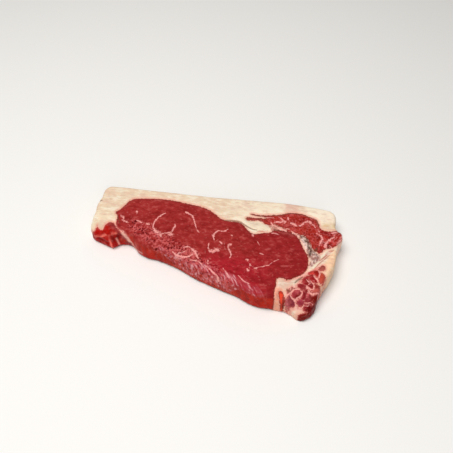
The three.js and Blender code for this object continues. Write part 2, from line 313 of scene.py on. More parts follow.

# %% Veins in the right half of the eye, and threads of its veil, partly painted glints
RIGHT_VEINS = [
    # the oval near the front
    (0.7, [(-20.4, -8.4), (-16.3, -7.1), (-12.8, -9.2)]),
    (1.6, [(-12.6, -9.2), (-10.3, -11.6), (-8.4, -14.6)]),
    (0.7, [(-8.1, -15), (-6, -18)]),
    (0.45, [(-18, -11.8), (-20.3, -13.4), (-23.4, -14.4)]),
    (0.75, [(-28.4, -13.8), (-25, -16.1), (-21.7, -17), (-17.4, -17.6), (-13.4, -16), (-11, -13)]),
    # the hook, and the curl beside it
    (0.6, [(33.7, 13.4), (35.2, 10.6)]),
    (0.7, [(50.1, 16.6), (52.7, 16.8), (56.1, 15.8)]),
    (0.55, [(13.3, 15.4), (10.4, 12.6), (5.2, 12.5)]),
    (0.8, [(5.4, 12.5), (2.9, 9.6), (2.3, 5.2), (3.4, 2.6)]),
    (0.55, [(8.2, 1.5), (10.5, -1)]),
    (0.45, [(-0.4, -1), (0.1, -7.2), (1.5, -10)]),
    (1.4, [(2.3, -10), (4.9, -8.4), (7.6, -7), (9.8, -6.1)]),
    (0.95, [(17.9, 0.2), (16, -1.2)]),
    (0.6, [(15.9, -1.2), (15.9, -4), (17.9, -7), (19.4, -11.7), (18.7, -13.4)]),
    (0.6, [(17, 9.2), (17.8, 8.6)]),
    # dots and lines towards the tail
    (0.8, [(31.9, -13), (33.4, -13.4)]),
    (0.9, [(35.5, -17.2), (36.4, -18.8)]),
    (0.8, [(34, -22), (35.2, -23.4)]),
    (0.85, [(39.8, -20.2), (42, -19.4)]),
    (0.45, [(42, -19.2), (45.3, -18), (50.7, -15.8)]),
    (0.25, [(50.7, -15.8), (53.6, -12.3), (58.9, -8.5)]),
    (0.3, [(39, 6), (41.4, 2)]),
    (0.3, [(42, -5.6), (45.5, -6.3)]),
    (0.5, [(34.9, 13.6), (34.7, 11)]),
]
# The threads of the veil are pale lines, partly threads of the skin and partly painted glints.
VEIL_THREADS_AND_GLINTS = [
    (0.5, [(1.3, -24), (7.3, -28.3), (13.5, -32.5)]),
    (0.6, [(1.6, -18.4), (2.1, -22)]),
    (0.45, [(14.7, -23.8), (20.4, -30.4)]),
    (0.4, [(27.3, -28.5), (32.7, -33.2), (37.7, -35.2)]),
    (0.5, [(-12.8, -20), (-7, -20.3), (-2.5, -22.5)]),
]
print("veins in the right half:", len(RIGHT_VEINS), "and threads of the veil:", len(VEIL_THREADS_AND_GLINTS))

# %% Veins of the cap
CAP_VEINS = [
    (0.6, [(54.4, 34.2), (56.6, 32.9), (58.6, 30.8)]),
    (0.9, [(58.6, 31), (57.8, 29), (54, 29.2), (51, 27.8)]),
    (0.6, [(58.6, 30.8), (60.8, 29.8), (59.8, 28.4)]),
    (0.6, [(62.3, 34.9), (62.7, 32.5)]),
    (1.2, [(65.2, 28.6), (67.5, 28.3), (69.7, 26.9)]),
    (0.9, [(72.7, 27), (75.4, 29.7), (76.9, 32)]),
    (1.1, [(77.4, 31.8), (80.5, 32.5), (83.4, 30)]),
    (0.6, [(84.3, 30), (85.9, 27)]),
    (0.6, [(81.8, 38.7), (84.7, 37)]),
    (0.6, [(88.2, 25.3), (89.4, 23)]),
    (0.85, [(87.2, 21.2), (91.1, 18.9), (92.2, 16.5), (91, 13.2), (89.8, 9.2)]),
    (0.7, [(102.1, 21.9), (101.3, 19.2), (100, 17.9)]),
    (1.15, [(100, 17.9), (98.4, 16.1), (96.4, 14.3), (95.1, 11.6), (94.9, 8.7), (96.4, 7), (98.5, 7)]),
    (0.8, [(99.1, 10), (100.4, 9.1), (102, 8.7), (104, 10.4)]),
    (1.3, [(108.8, 22), (107.9, 18.6), (105.3, 13.6), (104.5, 9.6)]),
    (0.6, [(99.1, 23.2), (101.1, 23.5)]),
    (0.8, [(100, 25.4), (104.6, 24.6)]),
    (0.6, [(34, 32.8), (38.9, 33.1), (44.8, 32.4), (50.1, 32.9)]),
]
VEINS = LEFT_VEINS + RIGHT_VEINS + VEIL_THREADS_AND_GLINTS + CAP_VEINS
print("veins:", len(VEINS))

# %% Lace
# Lace is made of pale threads that lie over lean and fat alike: they cross the tail, and run out of
# the tip of the wedge of fat.
LACE = [
    (0.8, [(48.3, 28), (50.2, 26.3), (53.3, 24.5), (55.6, 22.6)]),
    (0.9, [(57.2, 22.9), (59.9, 21.8), (62, 21.1)]),
    (0.5, [(61.4, 23.6), (64.8, 23.3)]),
    (0.7, [(65.8, 21.6), (68.4, 20.5), (71, 18.7), (72.8, 16.9)]),
    (0.6, [(69.8, -37.8), (70.9, -39.5), (72.7, -40.7), (74.1, -41.8), (74.8, -43.9)]),
    (0.6, [(73.4, -41), (75.2, -39.2), (77.6, -37.3), (78.9, -35.6), (78.7, -34)]),
    (0.55, [(66.1, -41.7), (66.7, -39.4), (68.6, -37.6), (70.3, -36.1), (71.7, -34.3), (74.4, -33.5),
            (77.7, -33.5)]),
    (0.4, [(80.7, -24.5), (82.8, -26.5), (84.2, -28)]),
    (0.4, [(83.9, -25.3), (85.5, -26.6), (86.9, -28.4), (87.4, -29.9), (87.2, -31.3)]),
    (0.6, [(86.5, -20.4), (88.1, -22.4), (89.8, -23.9), (90.6, -26.5)]),
    (0.7, [(81.6, -29.6), (81.9, -31.3), (83.7, -30.9)]),
    (0.4, [(84.1, -30.5), (85, -31.5), (87.1, -31.6)]),
    (0.5, [(85.2, -34.2), (87.9, -33.9), (92, -32)]),
    (0.5, [(82.9, -34), (83.5, -34.2)]),
    (0.45, [(85, -33.7), (85.6, -34.4)]),
    (0.35, [(81.3, -40.9), (83.7, -40.7), (86.1, -39.8)]),
    (0.35, [(82.1, -42.9), (84.4, -42.5), (85.3, -41.7)]),
    (0.45, [(87.8, -40.7), (88.2, -41.1)]),
    (0.7, [(72, -25.2), (76, -21.9), (79.8, -18.6), (82.8, -16.2)]),
    (0.6, [(90.5, -15.4), (91.2, -17.8), (90.7, -21.7)]),
]
print("threads of lace:", len(LACE))

# %% Creases between bundles and along seams, painted dark as shade
CREASES = [
    (1.1, [(72.5, -28.5), (74.1, -25.9), (76.4, -23.2), (78.2, -21.5)]),
    (1.4, [(86.4, 4.6), (88.3, 6.2)]),
    (0.8, [(8.6, 25.6), (15, 26.1), (22, 25.4), (26.6, 22.6), (31.2, 19.7), (34.8, 18.4), (37.3, 18.2)]),
    (0.7, [(-83, 17), (-82.2, 14.2), (-80.6, 11.5), (-78.8, 8.5)]),
    (0.8, [(51.4, 21.4), (55, 20.8)]),
    (0.9, [(-106, 29.4), (-101, 31)]),
    (0.9, [(66.6, -34.4), (68.6, -36)]),
]
print("creases:", len(CREASES))

# %% [markdown]
# ### Measuring the map
# Geometry Nodes could find such distances too, but here the same numbers shape the relief and mix
# the colours, so they are measured in Python: how deep a point lies inside a closed curve, and how
# far it is from the nearest line. A soft step then turns a distance into an amount, and a random
# swell keeps every surface from looking machined.

# %% How far inside a closed shape
FAR = 30.0
STEPS_PER_CORNER = 4


def inside_by(points, corners, steps=None):
    """How many mm each point lies inside a closed smooth shape: negative outside it."""
    shape = smooth_line(corners, steps or STEPS_PER_CORNER * len(corners), closed=True)[:-1]
    near = np.all((points > shape.min(0) - FAR) & (points < shape.max(0) + FAR), axis=1)
    x, y = points[near].T
    nearest = np.full(len(x), FAR**2)
    inside = np.zeros(len(x), bool)
    for (ax, ay), (bx, by) in zip(shape, np.roll(shape, -1, axis=0)):
        dx, dy = bx - ax, by - ay
        share = np.clip(((x - ax) * dx + (y - ay) * dy) / (dx * dx + dy * dy), 0, 1)
        nearest = np.minimum(nearest, (x - ax - share * dx) ** 2 + (y - ay - share * dy) ** 2)
        if ay != by:
            inside ^= ((ay > y) != (by > y)) & (x < ax + (y - ay) * dx / dy)
    result = np.full(len(points), -FAR)
    result[near] = np.where(inside, 1, -1) * np.sqrt(nearest)
    return result


near_the_middle = np.array([[0.0, 10.0]])
print("a point near the middle lies", inside_by(near_the_middle, EYE).round(1)[0], "mm inside the eye")

# %% How far from the nearest line
def offset_from(points, lines, fade=0.45):
    """Offsets from the nearest line, in its half widths; its ends are narrower by a share, `fade`."""
    best = np.full(len(points), np.inf)
    offset = np.zeros((len(points), 2))
    for half_width, corners in lines:
        line = smooth_line(corners, STEPS_PER_CORNER * len(corners))
        middle = np.linspace(-1, 1, len(line) - 1)
        widths = half_width * (1 - fade * middle**2)
        for a, b, width in zip(line, line[1:], widths):
            along = b - a
            share = np.clip((points - a) @ along / (along @ along), 0, 1)
            gap = (points - a - share[:, None] * along) / width
            length = (gap**2).sum(1)
            closer = length < best
            best[closer] = length[closer]
            offset[closer] = gap[closer]
    return offset


def nearness(offset):
    """1 on a line, soft down to almost 0 at two half widths from it."""
    return np.exp(-(offset**2).sum(1))


half_a_width_off = np.array([[0.5, 0.0]])
print("half of its half width off, a line counts", nearness(half_a_width_off).round(2)[0])

# %% A soft step and a random swell
# Each seed looks at the noise from another place. The noise has two layers, the second one half as
# large and half as high.
SEED_STEP = (17.3, 5.1, 11.7)
LAYERS = 2
FINER_BY = 2.0
LAYER_FADE = 1.0


def ramp(value, start, end):
    """0 before `start`, 1 after `end`, smooth between; it also runs downwards."""
    t = np.clip((value - start) / (end - start), 0, 1)
    return t * t * (3 - 2 * t)


def swell(points, sizes, seed):
    """Smooth random swell between about -1 and 1; `sizes` is the mm from bump to bump per axis."""
    shift = Vector([seed * step for step in SEED_STEP])
    scaled = points / np.array(sizes)
    return np.array([noise.fractal(Vector(p) + shift, LAYER_FADE, FINER_BY, LAYERS) for p in scaled])


def swells(points, layers):
    """The sum of several swells, each with a height in mm, its sizes and its seed."""
    return sum(height * swell(points, sizes, seed) for height, sizes, seed in layers)


print("halfway up a soft step:", ramp(5, 0, 10))

# %% [markdown]
# ## Relief of the cut face
# A knife leaves a flat face, and then the tissues relax: lean swells, seams sink, the tail thins out
# towards its free end and the torn rib droops. Sculpting it would work, but cannot be repeated
# exactly. A height that is worked out from the plan gives the same steak every time, and the big
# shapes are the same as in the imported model.

# %% Big shapes of the face
THICKNESS = 22.0
TAIL_TIP_THICKNESS = 9.0
RIB_TIP_THICKNESS = 14.0
BROAD_WAVE = 0.4
LONG_WAVE = 0.25
# Each seam has its depth and its half width in mm.
SEAMS = [
    (0.8, 2.8, [(-84, 8), (-85.6, 18), (-80, 29), (-72, 37.6), (-60, 39.6), (-40, 40.2),
                (-20, 37.8), (-5, 34), (6, 27), (22, 25), (35, 15.6), (47, 17.2), (62, 19.4),
                (72, 14.4), (78, 5), (82, -7), (79, -17.6), (66, -28), (58, -31), (57.4, -38)]),
    (0.7, 2.6, [(29, 29), (38, 34.8), (48, 36.4), (66, 41), (80, 39), (88, 33), (93, 27),
                (106, 27)]),
    (1.2, 3.2, [(29, 29), (42, 26.6), (56, 25), (70, 20.6), (80, 15), (86, 6), (90, 1.4),
                (104, 10)]),
    (1.2, 3.2, [(98, 4.6), (90, -6), (84, -15.6), (72, -26), (64, -33), (60.6, -44)]),
    (1.3, 3.0, [(-98, 1), (-96, 2.4), (-89, 8), (-84, 8.6), (-79, 2), (-71, -5), (-64, -9)]),
]


def seam_depth(plan):
    """How deep the seams between the tissues sink, in mm."""
    depth = np.zeros(len(plan))
    for deepest, width, corners in SEAMS:
        gap = offset_from(plan, [(width, corners)], fade=0)
        depth += deepest * nearness(gap)
    return depth


def face_height(plan):
    """Height of the upper cut face in mm, without its fine relief."""
    x, y = plan.T
    down_the_tail = 0.25 * (x - 75) - y
    tail = ramp(down_the_tail, 27, 52) * ramp(x, 57, 65)
    past_the_rib_seam = -0.45 * (x + 84) - 0.9 * (y - 8)
    rib = ramp(past_the_rib_seam, 2, 13) * ramp(x, -77, -86)
    thinning = (THICKNESS - TAIL_TIP_THICKNESS) * tail + (THICKNESS - RIB_TIP_THICKNESS) * rib
    waves = BROAD_WAVE * np.sin(x / 17 + 0.6) * np.cos(y / 13) + LONG_WAVE * np.sin(x / 31 - y / 19)
    return THICKNESS - thinning - seam_depth(plan) + waves


print("the face at the middle and at the tail's tip:", face_height(np.array([[0, 0], TAIL_TIP])).round(1))

# %% [markdown]
# ## The closed mesh
# The slice could be an extruded outline with a bevel, but its faces would be long slivers that
# cannot carry relief. So the top is a grid stretched between the four edges, rings of small faces
# go down the flank over a rounded rim and a soft belly, and a coarser grid closes the underside.

# %% The profile of the flank, and grids
# How far each ring lies inside the outline, and how high it is, from the rim down to the table.
FLANK_RINGS = 26
FLANK = smooth_line(
    [(3.2, THICKNESS), (1.9, 21.3), (0.9, 19.7), (0.2, 12.1), (0, 4.84), (0.5, 1.1), (1.7, 0)],
    FLANK_RINGS,
)
UNDERSIDE_INSET = 2.7


def stretched_grid(loop, cells):
    """A grid of plan points stretched inside a closed loop whose four edges have `cells` cells."""
    along, across = cells[0], cells[1]
    front = loop[:along + 1]
    right = loop[along:along + across + 1]
    back = loop[along + across:2 * along + across + 1][::-1]
    left = np.vstack([loop[2 * along + across:], loop[:1]])[::-1]
    u = np.linspace(0, 1, along + 1)[None, :, None]
    v = np.linspace(0, 1, across + 1)[:, None, None]
    between_edges = (1 - v) * front + v * back + (1 - u) * left[:, None] + u * right[:, None]
    corners = (1 - v) * ((1 - u) * front[0] + u * front[-1]) + v * ((1 - u) * back[0] + u * back[-1])
    return between_edges - corners


def border(rows, cols):
    """Indices round the edge of a grid, counter-clockwise from its first corner."""
    index = np.arange(rows * cols).reshape(rows, cols)
    return np.r_[index[0, :-1], index[:-1, -1], index[-1, :0:-1], index[:0:-1, 0]]


print("rings down the flank:", len(FLANK) - 1)

# %% The points of the top, the flank and the underside
ALONG, ACROSS = FINE_CELLS[0], FINE_CELLS[1]
COARSE_UNDER = [cells // 2 for cells in FINE_CELLS]
UNDER_ALONG, UNDER_ACROSS = COARSE_UNDER[0], COARSE_UNDER[1]

top = stretched_grid(ring(FLANK[0, 0], FINE_CELLS), FINE_CELLS).reshape(-1, 2)
rings = [ring(inset, FINE_CELLS) for inset, _ in FLANK[1:]]
under = stretched_grid(ring(UNDERSIDE_INSET, COARSE_UNDER), COARSE_UNDER).reshape(-1, 2)
plan = np.vstack([top, *rings, under])
share_of_height = np.r_[
    np.ones(len(top)), np.repeat(FLANK[1:, 1] / THICKNESS, len(rings[0])), np.zeros(len(under))
]
on_top = np.arange(len(plan)) < len(top)
on_under = np.arange(len(plan)) >= len(plan) - len(under)
on_flank = ~on_top & ~on_under
print("points:", len(top), "top,", on_flank.sum(), "flank,", len(under), "underside")

# %% The map: how far each point lies inside each tissue
# Deeper in the slice the muscles lie a little elsewhere, so the map drifts on its way down.
DRIFT = 3.0
DRIFT_SIZES = (38, 38, 38)
# Below the rim the seam between rib and eye leans to the right, by so many mm for each mm down.
RIB_SEAM_LEAN = 0.55
RIM_Z = 19
# A pale skin covers the flank of the cap, round the right corner.
SKIN_REACH = 7
# The curves of the tail's bundles follow their cores; the lean reaches a little further.
LOBE_GROWTH = 0.85
LOBE_STEPS = 40

z = share_of_height * THICKNESS
flat = np.column_stack([plan, np.zeros(len(plan))])
drift = DRIFT * (1 - share_of_height)[:, None] * np.column_stack([
    swell(flat, DRIFT_SIZES, 1), swell(flat, DRIFT_SIZES, 2)
])
mapped = plan + drift
below_rim = np.maximum(RIM_Z - z, 0)
mapped[:, 0] -= RIB_SEAM_LEAN * below_rim * ramp(plan[:, 0], -52, -62) * ramp(plan[:, 1], 6, 2)
x, y = mapped.T
eye = inside_by(mapped, EYE)
cap = inside_by(mapped, CAP) - SKIN_REACH * ramp(z, 21, 17) * ramp(plan[:, 0], 99, 103)
rib = inside_by(mapped, RIB)
lobes = [inside_by(mapped, corners, LOBE_STEPS) for _, corners in TAIL]
tail = np.max(lobes, axis=0) + LOBE_GROWTH
lean = np.max([eye, cap, rib, tail], axis=0)
print("share of lean in the face:", (lean[on_top] > 0).mean().round(2))

# %% The map: beds, skins and lines
# Each edge runs from so many mm outside a curve to so many inside it.
CRISP_EDGE, BED_EDGE, SOFT_EDGE = (-0.6, 0.6), (-0.6, 0.8), (-3, 4)
in_laced = ramp(inside_by(mapped, LACED), *BED_EDGE)
in_silverskin = ramp(inside_by(mapped, SILVERSKIN), *CRISP_EDGE)
in_flecked = ramp(inside_by(mapped, FLECKED), *CRISP_EDGE)
speckled = ramp(inside_by(mapped, SPECKLED), *SOFT_EDGE)
veil_and_sheen = ramp(inside_by(mapped, VEILED_AND_SHEEN_AREA), *SOFT_EDGE)
vein = offset_from(mapped, VEINS)
lace = offset_from(mapped, LACE)
crease = offset_from(plan, CREASES)
print("points under the veil:", (veil_and_sheen > 0.5).sum(), "and in the laced bed:", (in_laced > 0.5).sum())

# %% Heights, with the fine relief
# Depths and heights in mm. A swell has its height, its sizes along X, Y and Z, and its seed.
EDGE_GROOVE, GROOVE_WIDTH = 0.45, 0.9
LOBE_DOME = 0.9
CREASE_DEPTH, VEIN_HEIGHT, LACE_HEIGHT = 0.5, 0.1, 0.25
LEAN_SWELLS = [(0.16, (7, 5, 9), 3), (0.07, (3.2, 1.3, 6), 4)]
FAT_SWELLS = [(0.22, (15, 5, 8), 5), (0.08, (6, 1.1, 6), 6)]
SPECKLE_SWELLS = [(0.16, (1.9, 1.9, 4), 7)]
UNDERSIDE_SWELLS = [(0.25, (11, 8, 8), 8)]
UNDERSIDE_LIFT, UNDERSIDE_GROOVE = 0.35, 0.3

spot = np.column_stack([plan, z])
is_fat = ramp(lean, 0.3, -0.3)
fine = (
    LOBE_DOME * ramp(tail, -0.4, 2.4)
    - EDGE_GROOVE * np.exp(-(lean / GROOVE_WIDTH) ** 2)
    - CREASE_DEPTH * nearness(crease)
    + VEIN_HEIGHT * nearness(vein) + LACE_HEIGHT * nearness(lace)
    + speckled * swells(spot, SPECKLE_SWELLS)
    + swells(spot, LEAN_SWELLS) * (1 - is_fat) + swells(spot, FAT_SWELLS) * is_fat
)
height = share_of_height * (face_height(plan) + fine)
under_seams = UNDERSIDE_GROOVE * ramp(np.abs(lean[on_under]), 1, 0)
under_lift = UNDERSIDE_LIFT + swells(spot[on_under], UNDERSIDE_SWELLS) - under_seams
height[on_under] = np.clip(under_lift, 0, 1)
print("height of the face in mm:", height[on_top].min().round(1), "to", height[on_top].max().round(1))

# %% [markdown]
# ### The flank and its folds
# The side of a slice bulges a little, and at the front left the rib was torn rather than cut: it
# shows ridges of lean with hollows between them. Sculpting would find them by feel. Here
# each one is a line in space that pushes the flank out or in around it, and later lends the same
# points a colour, painted light on the ridges and painted shade in the hollows, so that shape and
# shading always agree.

# %% Folds of the torn rib
# Each fold has a radius in mm, how far it pushes the flank out, its colour and its line in space.
# The dark reds in the hollows are painted shade and the pale reds on the ridges painted light; the
# two deep reds are lean. The two palest are the seam beside the eye, the upper one on a knob with
# painted glints, and the last is painted shade in a recess at the foot of the tail.
FOLDS = [
    (1.7, -0.5, "#960E0A", [(-97, 0, 8.2), (-92.3, -1.8, 8), (-89.2, -3, 8)]),
    (1.5, -0.5, "#960E0A", [(-94, 1, 15), (-90, 0.8, 12.5)]),
    (1.5, -0.6, "#860805", [(-83.8, -1.6, 15), (-83.8, -2.6, 10)]),
    (1.6, -0.6, "#860805", [(-80, -0.2, 11), (-79, 0.3, 14.5), (-77.4, 0.8, 15)]),
    (1.2, -0.5, "#960E0A", [(-104.4, 3.6, 9), (-102.7, 1.9, 6)]),
    (1.7, 0.9, "#B40C0A", [(-83.5, -2.8, 7), (-83.4, -2.7, 2)]),
    (0.9, 1.2, "#FF8474", [(-100.4, 1, 9.2), (-95.1, 0.2, 11.4), (-89.6, -0.7, 15.6), (-85.7, -0.2, 17.4),
                           (-80.6, 0.2, 18.4)]),
    (0.9, 1.3, "#FF7E70", [(-88.4, 2.4, 18.4), (-87.2, 0.2, 16.4), (-86.2, -2.2, 13), (-85.8, -3.4, 7),
                           (-85.8, -3.4, 1.5)]),
    (0.7, 0.8, "#FFB0A2", [(-81, -1, 11.9), (-80.4, -0.7, 8), (-80, -0.4, 3.1)]),
    (1.6, 0.4, "#B22A1E", [(-77.4, 0.5, 9), (-73.9, 0.8, 7)]),
    (1.7, 1.0, "#FFC9BE", [(-74.1, 1.5, 17), (-72.6, 1.1, 14), (-71.2, 0.6, 11), (-70.2, 0.3, 9)]),
    (0.7, 0.4, "#FFCFC2", [(-67.5, -0.9, 5), (-62.7, -5.2, 6), (-59.3, -7.7, 6.5), (-57.3, -8.7, 6.5)]),
    (0.8, -0.6, "#7A2210", [(65, -44.1, 8.1), (67.1, -44.4, 6.6), (69.6, -45.4, 5.6)]),
]
print("folds and hollows:", len(FOLDS))

# %% Swell and tears of the flank
# A swell of the flank has a height in mm, what a ragged stretch adds, its sizes and its seed.
FLANK_SWELLS = [(0.3, 0.35, (6, 6, 16), 9), (0.12, 0.2, (2.4, 2.4, 5), 10)]
# It fades out at the foot and at the rim, over so many mm.
FOOT_FADE, RIM_FADE = 3, 2.5
FOLD_STEPS = 24
wall = spot[on_flank]
middle_of_wall = ramp(wall[:, 2], 0, FOOT_FADE) * ramp(wall[:, 2], THICKNESS, THICKNESS - RIM_FADE)
ragged = np.max([ramp(tail[on_flank], -4, 0), ramp(rib[on_flank], -2, 1)], axis=0)
push = np.zeros(len(wall))
for calm, rough, sizes, seed in FLANK_SWELLS:
    push += (calm + rough * ragged) * swell(wall, sizes, seed)
true_wall = np.column_stack([plan, height])[on_flank]
folded = []
for radius, out, _, corners in FOLDS:
    line = smooth_line(corners, FOLD_STEPS)
    gap = np.min([((true_wall - p) ** 2).sum(1) for p in line], axis=0)
    folded.append(np.exp(-gap / radius**2))
    push += out * folded[-1]
flank_outward = np.vstack([outward_from(loop, FINE_REACH) for loop in rings])
plan[on_flank] += (push * middle_of_wall)[:, None] * flank_outward
print("flank moved by up to", np.abs(push).max().round(2), "mm")

# %% [markdown]
# ## Colours
# Fresh beef is bright red where air has reached it, and darker where it is dense. Its front is
# painted warmer below the rim, most of all low down, as painted light that the table throws back onto
# it, and darker at its foot, as painted shadow where it stands on the table. Its fat is cream, never
# white: pinker beside lean, yellower outside. All of these are mixed per point here, where a plain
# list of rules is easy to read, and the material adds only what is finer than the mesh. A rule is a
# colour and how much of it a point gets, mostly by soft steps along X, Y and Z or by how far it lies
# inside a muscle.

# %% One function from sRGB hex to linear
SRGB_KNEE = 0.04045


def linear(hex_colour):
    """Linear red, green and blue of an sRGB hex colour."""
    value = np.array([int(hex_colour[i:i + 2], 16) for i in (1, 3, 5)]) / 255
    return np.where(value <= SRGB_KNEE, value / 12.92, ((value + 0.055) / 1.055) ** 2.4)


def lay(under_colour, hex_colour, amount):
    """Lays a colour over others, by an amount between 0 and 1 per point."""
    amount = np.clip(amount, 0, 1)[:, None]
    return under_colour * (1 - amount) + linear(hex_colour) * amount


def lay_all(under_colour, layers):
    """Lays several colours over others, one after another."""
    for hex_colour, amount in layers:
        under_colour = lay(under_colour, hex_colour, amount)
    return under_colour


# A spot is a fifth narrower at its ends.
SPOT_FADE = 0.2


def lay_spots(under_colour, spots, strength):
    """Lays soft spots over other colours: each is a colour, a half width in mm and a line."""
    for hex_colour, half_width, corners in spots:
        gap = offset_from(mapped, [(half_width, corners)], SPOT_FADE)
        under_colour = lay(under_colour, hex_colour, strength * nearness(gap))
    return under_colour


print("middle grey is linear", linear("#808080").round(3)[0])

# %% Lean of the eye, the cap and the rib
front_gap = np.linalg.norm(offset_from(plan, [(1, FRONT_EDGE)], fade=0), axis=1)
near_front = ramp(front_gap, 9, 3)
# In the middle of the front the net and the veil reach far down the flank.
reach_down = ramp(x, -46, -20) * ramp(x, 32, 22)
on_cap = ramp(cap, -1, 0.5)
on_rib = ramp(rib, -1, 0.5)
lean_colour = np.tile(linear("#9F2C2A"), (len(plan), 1))
lean_colour = lay_all(lean_colour, [
    # the cut face: denser on the right, redder low in the middle
    ("#9C2628", ramp(x, 20, 55)),
    ("#A0302D", ramp(eye, 9, 1) * ramp(x, 20, -20) * ramp(y, 18, 30)),
    ("#A9222B", ramp(x, -15, 12) * ramp(x, 62, 35) * ramp(y, -4, -20)),
    # the front: painted warm light that the table throws back onto it, strongest low down, and a
    # painted shadow at its foot; then the underside
    ("#BC2614", ramp(z, 21, 16) * near_front),
    ("#BC1E0A", ramp(z, 12, 5) * near_front),
    ("#B8300E", 0.8 * reach_down * ramp(z, 20, 16) * near_front),
    ("#6E0F06", ramp(z, 3.4, 0.5) * near_front),
    ("#8A2630", 0.5 * on_under * (1 - near_front)),
    # the cap, with a brown upper border, and the rib
    ("#A82A20", on_cap),
    ("#AE241C", on_cap * ramp(x, 88, 94)),
    ("#93483A", ramp(cap, -1, 0.4) * ramp(cap, 3, 0.5) * ramp(y, 28, 32)),
    ("#B0160E", on_rib),
    ("#983230", on_rib * ramp(y + 0.6 * (x + 88), 3, 7)),
])
print("colours of lean mixed for", len(lean_colour), "points")

# %% Small bundles, the tail, and the folds with their painted light and shade
# Small bundles lie darker, brighter or milkier than the rest.
BUNDLES = [
    ("#B4504C", 2.2, [(58.5, 18.4), (63.4, 18.6), (67, 17)]),
    ("#86463A", 1.0, [(51.9, 20.6), (56.2, 20.2)]),
    ("#B65250", 0.7, [(60.3, -15.1), (65.8, -14.3)]), ("#B65250", 0.9, [(46.8, -1.2), (50, 0.4)]),
    ("#B04A48", 0.9, [(67, 3), (69.1, 2.4)]),
    ("#6A1C14", 1.3, [(97.2, 11.3), (97.5, 9.1)]), ("#7C1A14", 0.9, [(99.3, 12.7), (100.3, 11.9)]),
    ("#8A1A0C", 1.4, [(103.7, 24.4), (105.8, 25.7)]), ("#640505", 1.0, [(88, 7.1), (87, 4.6)]),
    ("#8C1A18", 1.6, [(91.6, 22), (95.8, 22), (97.9, 20.2), (99.2, 18.8)]),
    ("#7E221E", 1.4, [(93.2, 12.8), (93.6, 11.4)]), ("#7E1C16", 1.6, [(88, 17.7), (90.5, 16.5)]),
    ("#D8504A", 1.5, [(100.1, 15.3), (101.8, 13.2)]), ("#8E2420", 1.6, [(90.6, 5.3), (93.5, 5.9)]),
]
# How strongly the folds lay their colours: seams, and painted light and shade.
FOLD_STRENGTH = 1.2
fold_seams_light_and_shade = []
for (_, _, colour, _), amount in zip(FOLDS, folded):
    whole = np.zeros(len(plan))
    whole[on_flank] = FOLD_STRENGTH * amount
    fold_seams_light_and_shade.append((colour, whole))
tail_layers = [(colour, ramp(lobe, -1.2, -0.2)) for (colour, _), lobe in zip(TAIL, lobes)]
lean_colour = lay_spots(lean_colour, BUNDLES, 1)
lean_colour = lay_all(lean_colour, tail_layers + fold_seams_light_and_shade)
print("small bundles:", len(BUNDLES))

# %% Fat
fat_colour = np.tile(linear("#E6CCAF"), (len(plan), 1))
fat_colour = lay_all(fat_colour, [
    # the cap of fat, lightest at its right end
    ("#F1DFC4", ramp(x, 5, 30)),
    ("#F8E6CE", ramp(x, 62, 95) * ramp(y, 15, 30)),
    ("#EBD4B5", ramp(x, -70, -90) * ramp(y, 30, 16)),
    # the pink bed of the tail, and the skins round it
    ("#EDA79C", in_laced),
    ("#EE8C80", 0.8 * in_laced * ramp(y, -36, -26)),
    ("#F9CDA6", ramp(x - 0.35 * y, 95, 100) * ramp(y, -34, -26) * ramp(y, 12, 4)),
    ("#F3C4AC", ramp(x, 70, 73) * ramp(y, -45, -47.5) * ramp(x, 83, 80)),
    ("#E4BEA9", ramp(x, 56, 62) * ramp(x, 76, 68) * ramp(y, -37, -33)),
    ("#FFAA8A", ramp(x, 66, 60) * ramp(y, -33, -36)),
    # the skin below the right rim, and the seam beside the rib
    ("#FBCDB6", ramp(x, 99, 103) * ramp(z, 21, 18) * ramp(y, 4, 9)),
    ("#FFB2A6", ramp(x, -88, -80) * ramp(x, -50, -60) * ramp(y, 14, 8)),
    ("#CDA79A", in_silverskin),
    ("#DC9C8C", in_flecked),
])
print("colours of fat mixed for", len(fat_colour), "points")

# %% Stains, painted shade and thin red lines in the fat
# The olive and grey spots of the silverskin, and painted shade on the step of fat above the corner.
# The red lines run along the strip of fat between cap and tail, and under the wedge of fat.
STAINS_AND_SHADE = [
    ("#6E5347", 1.5, [(75, 17.6), (79.6, 15.6)]), ("#7A5D50", 1.4, [(77.4, 12.6), (82.4, 11.8)]),
    ("#6A4D40", 1.5, [(80.6, 8), (83, 4.2), (82.7, -0.6)]), ("#A8938A", 0.9, [(85.6, 3.4), (88.8, -0.6)]),
    ("#AE968A", 0.7, [(85.2, -7.6), (88.4, -3.6)]), ("#F6D9CC", 1.3, [(75.4, 14), (77.4, 9.6), (79.6, 5)]),
    ("#F4CFC4", 1.0, [(83.2, 10.2), (84.6, 6)]), ("#E2C296", 3.6, [(93.6, 30), (98, 29.6), (104, 32)]),
]
STAIN_AND_SHADE_STRENGTH = 1.1
RED_LINES = [
    (0.75, [(101.9, 7.3), (96.5, 2.1), (93.1, -2.4), (90.4, -5)]),
    (0.6, [(98.7, 1.9), (95.1, -2.5), (90.9, -7.6), (87.4, -12.4)]),
    (0.9, [(100.5, 7.1), (98.5, 6), (96.9, 4.3), (95.4, 2.1)]),
    (0.5, [(37.8, 17), (41.7, 17.6), (46.6, 18.5)]),
]
on_red_line = nearness(offset_from(mapped, RED_LINES)) * ramp(z, 14, 18)
fat_colour = lay_spots(fat_colour, STAINS_AND_SHADE, STAIN_AND_SHADE_STRENGTH * ramp(z, 6, 17))
fat_colour = lay(fat_colour, "#BE5A4E", on_red_line)
# The folds lay their seams and their painted light and shade over the fat too.
fat_colour = lay_all(fat_colour, fold_seams_light_and_shade)
print("stains:", len(STAINS_AND_SHADE), "red lines:", len(RED_LINES))

